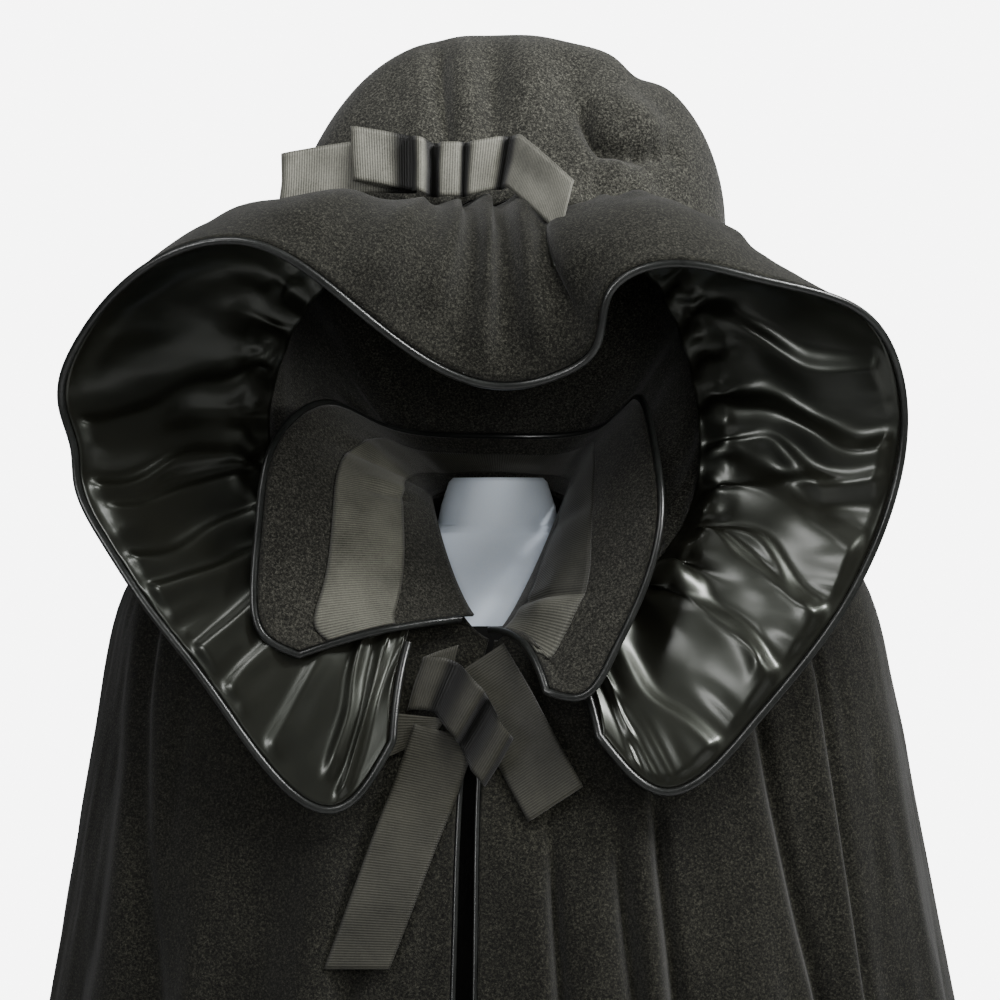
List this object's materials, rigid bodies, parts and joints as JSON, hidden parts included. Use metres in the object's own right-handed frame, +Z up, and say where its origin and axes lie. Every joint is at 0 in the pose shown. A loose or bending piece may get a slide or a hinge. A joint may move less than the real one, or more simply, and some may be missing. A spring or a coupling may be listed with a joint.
{
  "type": "hooded cloak on dress form",
  "caption": "Long black wool cloak with a puffed hood, a deep flared satin-faced brim, a wide ribbon-trimmed collar and ribbon bows, hung on a plain dress form with a round base.",
  "frame": {"origin": "middle of the underside of the stand's round base", "axes": "+Z up, the front of the cloak faces -Y, +X is to the viewer's right when looking at the front"},
  "size_m": [0.9315, 0.6833, 1.6942],
  "materials": {
    "wool": "dull black wool broadcloth with a short nap",
    "satin": "glossy black satin",
    "ribbon": "finely ribbed faded black ribbon",
    "piping": "smooth black covered cord",
    "form_cover": "pale matt cover",
    "form_jersey": "black matt jersey",
    "stand_metal": "dark satin paint"
  },
  "bodies": {
    "root": {"cloak_front_left": "wool", "cloak_front_right": "wool", "cloak_back": "wool", "hood_crown": "wool", "brim_outer": "wool", "brim_facing": "satin", "brim_piping": "piping", "collar": "wool", "collar_ribbon": "ribbon", "collar_piping": "piping", "front_piping_left": "piping", "front_piping_right": "piping", "hood_bow": "ribbon", "neck_bow_loops": "ribbon", "neck_bow_tail_left": "ribbon", "neck_bow_tail_short": "ribbon", "neck_bow_tail_long": "ribbon", "form_shoulders": "form_cover", "form_body": "form_jersey", "stand_pole": "stand_metal", "stand_base": "stand_metal"}
  },
  "joints": []
}
